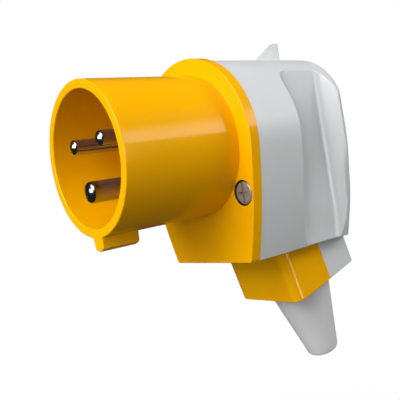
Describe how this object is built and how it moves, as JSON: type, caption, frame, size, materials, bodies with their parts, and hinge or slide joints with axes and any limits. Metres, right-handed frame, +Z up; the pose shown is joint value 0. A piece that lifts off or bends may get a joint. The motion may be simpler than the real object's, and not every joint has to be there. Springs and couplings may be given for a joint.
{
  "type": "right-angle industrial plug",
  "caption": "Right-angle industrial plug: a keyed round shroud around earth and line pins, a grey rear cover with finger pockets, and a clamped neck with a tapered cable boot.",
  "frame": {"origin": "centre of the shroud's mouth, in the plane of its rim", "axes": "-Y out of the mouth along the plug axis, +Z up, the cable leaving downwards and slightly backwards, +X to the right seen from the mouth"},
  "size_m": [0.061, 0.1039, 0.1275],
  "materials": {
    "yellow_plastic": "smooth moulded nylon",
    "grey_plastic": "smooth moulded nylon",
    "carrier_plastic": "moulded insulating body",
    "pin_plating": "nickel-plated contact metal",
    "screw_steel": "nickel-plated screw",
    "insert_brass": "turned brass",
    "boot_rubber": "soft grey moulding",
    "seal_rubber": "black sealing rubber"
  },
  "bodies": {
    "root": {"front_shell": "yellow_plastic", "gland_front": "yellow_plastic", "rear_cover": "grey_plastic", "gland_rear": "grey_plastic", "cord_clamp": "grey_plastic", "pin_carrier": "carrier_plastic", "earth_pin": "pin_plating", "line_pin_left": "pin_plating", "line_pin_right": "pin_plating", "earth_terminal_screw": "screw_steel", "line_terminal_screws": "screw_steel", "carrier_screws": "screw_steel", "cover_screws": "screw_steel", "gland_screws": "screw_steel", "cord_clamp_screws": "screw_steel", "cover_inserts": "insert_brass", "cable_boot": "boot_rubber", "carrier_gasket": "seal_rubber", "cover_gasket": "seal_rubber", "screw_seals": "seal_rubber", "cable_seal": "seal_rubber"}
  },
  "joints": []
}
